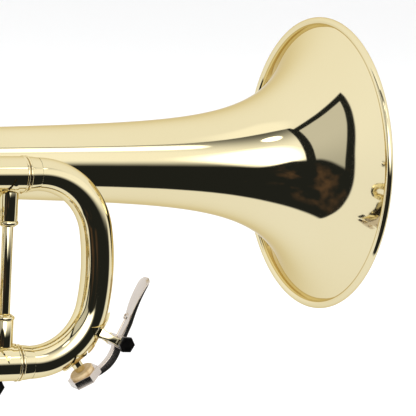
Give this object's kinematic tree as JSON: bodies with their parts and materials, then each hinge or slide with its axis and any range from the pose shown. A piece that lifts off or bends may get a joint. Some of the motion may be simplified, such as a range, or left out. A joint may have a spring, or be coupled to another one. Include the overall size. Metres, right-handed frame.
{
  "type": "trumpet",
  "caption": "Valve trumpet in polished brass: flared bell, three piston valves, pull-out slides, water keys and mouthpiece.",
  "frame": {"origin": "centre of the bell's mouth, in the plane of the rim's flat front", "axes": "+X along the bell's axis, out of its mouth; +Z towards the finger buttons; +Y to the player's left"},
  "size_m": [0.545, 0.1327, 0.176],
  "materials": {
    "lacquered_brass": "polished, clear lacquer",
    "nickel_silver": "polished",
    "screw_steel": "blued",
    "spring_steel": "bright",
    "cork": "matte",
    "felt": "matte",
    "silver_plate": "polished",
    "button_brass": "polished, pearl inlay"
  },
  "bodies": {
    "horn": {"bell": "lacquered_brass", "bell_rim_bead": "lacquered_brass", "bell_bow": "lacquered_brass", "bell_tail": "lacquered_brass", "bell_ferrules": "lacquered_brass", "leadpipe": "lacquered_brass", "mouthpiece_receiver": "lacquered_brass", "upper_slide_sleeve": "lacquered_brass", "lower_slide_sleeve": "lacquered_brass", "third_valve_elbow": "lacquered_brass", "slide_brace": "lacquered_brass", "valve_casing_1": "lacquered_brass", "valve_casing_2": "lacquered_brass", "valve_casing_3": "lacquered_brass", "valve_knuckles": "lacquered_brass", "valve_guides": "nickel_silver", "first_slide_sleeves": "lacquered_brass", "second_slide_sleeves": "lacquered_brass", "third_slide_sleeves": "lacquered_brass", "top_caps": "lacquered_brass", "bottom_caps": "lacquered_brass", "bell_brace_front": "lacquered_brass", "bell_brace_rear": "lacquered_brass", "finger_hook": "lacquered_brass", "valve_spring_1": "spring_steel", "valve_spring_2": "spring_steel", "valve_spring_3": "spring_steel"},
    "main_slide": {"main_slide_bow": "lacquered_brass", "main_slide_tubes": "lacquered_brass", "main_water_key_seat": "lacquered_brass", "main_water_key_screw": "screw_steel", "main_water_key_spring": "spring_steel"},
    "main_water_key": {"main_water_key_lever": "nickel_silver", "main_water_key_cork": "cork"},
    "first_slide": {"first_slide_crook": "lacquered_brass", "first_slide_tubes": "lacquered_brass", "thumb_saddle": "lacquered_brass"},
    "second_slide": {"second_slide_crook": "lacquered_brass", "second_slide_tubes": "lacquered_brass"},
    "third_slide": {"third_slide_crook": "lacquered_brass", "third_slide_tubes": "lacquered_brass", "finger_ring": "lacquered_brass", "stop_rod": "nickel_silver", "third_water_key_seat": "lacquered_brass", "third_water_key_screw": "screw_steel"},
    "third_water_key": {"third_water_key_lever": "nickel_silver", "third_water_key_cork": "cork"},
    "mouthpiece": {"mouthpiece": "silver_plate"},
    "valve_1": {"piston_1": "nickel_silver", "valve_stem_1": "nickel_silver", "finger_button_1": "button_brass", "button_felt_1": "felt"},
    "valve_2": {"piston_2": "nickel_silver", "valve_stem_2": "nickel_silver", "finger_button_2": "button_brass", "button_felt_2": "felt"},
    "valve_3": {"piston_3": "nickel_silver", "valve_stem_3": "nickel_silver", "finger_button_3": "button_brass", "button_felt_3": "felt"}
  },
  "joints": [
    {"name": "valve_1_press", "type": "slide", "parent": "horn", "child": "valve_1", "axis": [0, 0, -1], "range_m": [0, 0.0168], "stiffness_N_per_m": 150, "springref_m": -0.022, "deforming": ["valve_spring_1"]},
    {"name": "valve_2_press", "type": "slide", "parent": "horn", "child": "valve_2", "axis": [0, 0, -1], "range_m": [0, 0.0168], "stiffness_N_per_m": 150, "springref_m": -0.022, "deforming": ["valve_spring_2"]},
    {"name": "valve_3_press", "type": "slide", "parent": "horn", "child": "valve_3", "axis": [0, 0, -1], "range_m": [0, 0.0168], "stiffness_N_per_m": 150, "springref_m": -0.022, "deforming": ["valve_spring_3"]},
    {"name": "main_tuning_slide", "type": "slide", "parent": "horn", "child": "main_slide", "axis": [1, 0, 0], "range_m": [0, 0.025]},
    {"name": "main_water_key_press", "type": "hinge", "parent": "main_slide", "child": "main_water_key", "pos_m": [-0.11046, -0.042, -0.06595], "axis": [0, -1, 0], "range_deg": [0, 18], "stiffness_Nm_per_rad": 0.02, "springref_deg": -28.65},
    {"name": "first_slide_pull", "type": "slide", "parent": "horn", "child": "first_slide", "axis": [-1, 0, 0], "range_m": [0, 0.015]},
    {"name": "second_slide_pull", "type": "slide", "parent": "horn", "child": "second_slide", "axis": [0, -1, 0], "range_m": [0, 0.008]},
    {"name": "third_slide_pull", "type": "slide", "parent": "horn", "child": "third_slide", "axis": [1, 0, 0], "range_m": [0, 0.018]},
    {"name": "third_water_key_press", "type": "hinge", "parent": "third_slide", "child": "third_water_key", "pos_m": [-0.15689, -0.0235, -0.08431], "axis": [0, -1, 0], "range_deg": [0, 15], "stiffness_Nm_per_rad": 0.02, "springref_deg": -28.65},
    {"name": "mouthpiece_pull", "type": "slide", "parent": "horn", "child": "mouthpiece", "axis": [-1, 0, 0], "range_m": [0, 0.03]}
  ]
}
